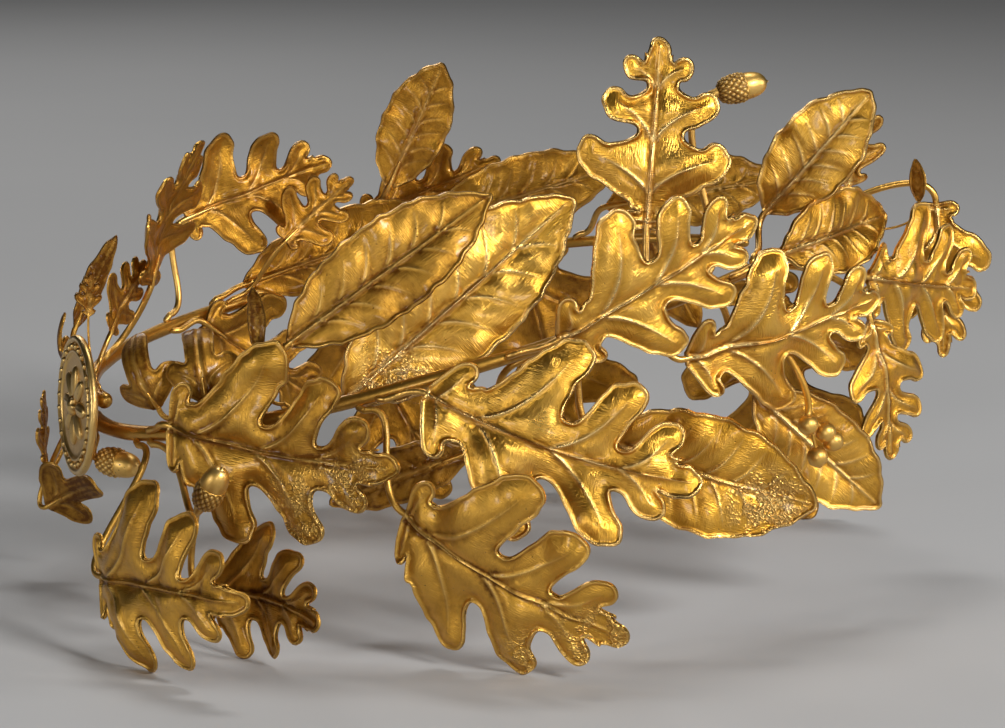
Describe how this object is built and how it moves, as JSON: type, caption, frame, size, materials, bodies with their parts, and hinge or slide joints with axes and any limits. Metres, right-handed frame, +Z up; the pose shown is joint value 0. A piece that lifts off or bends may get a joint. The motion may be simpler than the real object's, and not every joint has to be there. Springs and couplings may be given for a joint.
{
  "type": "oak leaf wreath",
  "caption": "Gilt metal head wreath of bent oak leaves, oval leaves, acorns and berries on stalks along two curved branches that run back from a round medallion at the forehead.",
  "frame": {"origin": "on the table, straight below the middle of the head ring", "axes": "+Z up, +Y towards the back of the head, +X to the wearer's left; the medallion faces -Y"},
  "size_m": [0.2192, 0.2641, 0.158],
  "materials": {
    "gilt_branch": "drawn gilt rod, satin, darkened",
    "gilt_medallion": "cast gilt relief, worn bright on top",
    "gilt_fruit": "gilt, satin",
    "gilt_leaf_bright": "burnished gilt sheet",
    "gilt_leaf_satin": "satin gilt sheet with hatching",
    "gilt_leaf_aged": "gilt sheet, browned and scratched"
  },
  "bodies": {
    "root": {"branch_left": "gilt_branch", "branch_right": "gilt_branch", "medallion": "gilt_medallion", "berry_cluster": "gilt_fruit", "left_oak_1": "gilt_leaf_aged", "left_oak_2": "gilt_leaf_aged", "left_oak_3": "gilt_leaf_aged", "left_oak_4": "gilt_leaf_aged", "left_oak_5": "gilt_leaf_bright", "left_oak_6": "gilt_leaf_bright", "left_oak_7": "gilt_leaf_bright", "left_oak_8": "gilt_leaf_bright", "left_oak_9": "gilt_leaf_satin", "left_oak_10": "gilt_leaf_satin", "left_oval_1": "gilt_leaf_aged", "left_oval_2": "gilt_leaf_bright", "left_oval_3": "gilt_leaf_aged", "left_oval_4": "gilt_leaf_satin", "left_oval_5": "gilt_leaf_bright", "left_oval_6": "gilt_leaf_satin", "left_oval_7": "gilt_leaf_bright", "left_curled_1": "gilt_leaf_aged", "left_curled_2": "gilt_leaf_aged", "left_bud_1": "gilt_leaf_aged", "right_oak_1": "gilt_leaf_satin", "right_oak_2": "gilt_leaf_bright", "right_oak_3": "gilt_leaf_satin", "right_oak_4": "gilt_leaf_satin", "right_oak_5": "gilt_leaf_satin", "right_oak_6": "gilt_leaf_satin", "right_oak_7": "gilt_leaf_satin", "right_oval_1": "gilt_leaf_bright", "right_oval_2": "gilt_leaf_bright", "right_oval_3": "gilt_leaf_satin", "right_oval_4": "gilt_leaf_bright", "right_curled_1": "gilt_leaf_aged", "right_oak_8": "gilt_leaf_satin", "left_oak_11": "gilt_leaf_satin", "left_oak_12": "gilt_leaf_satin", "left_bud_2": "gilt_leaf_satin", "right_oval_5": "gilt_leaf_aged", "right_oak_9": "gilt_leaf_satin", "right_curled_2": "gilt_leaf_aged", "right_oak_10": "gilt_leaf_satin", "right_oak_11": "gilt_leaf_satin", "right_oval_6": "gilt_leaf_satin", "left_acorn_1": "gilt_fruit", "left_acorn_2": "gilt_fruit", "left_acorn_3": "gilt_fruit"}
  },
  "joints": []
}
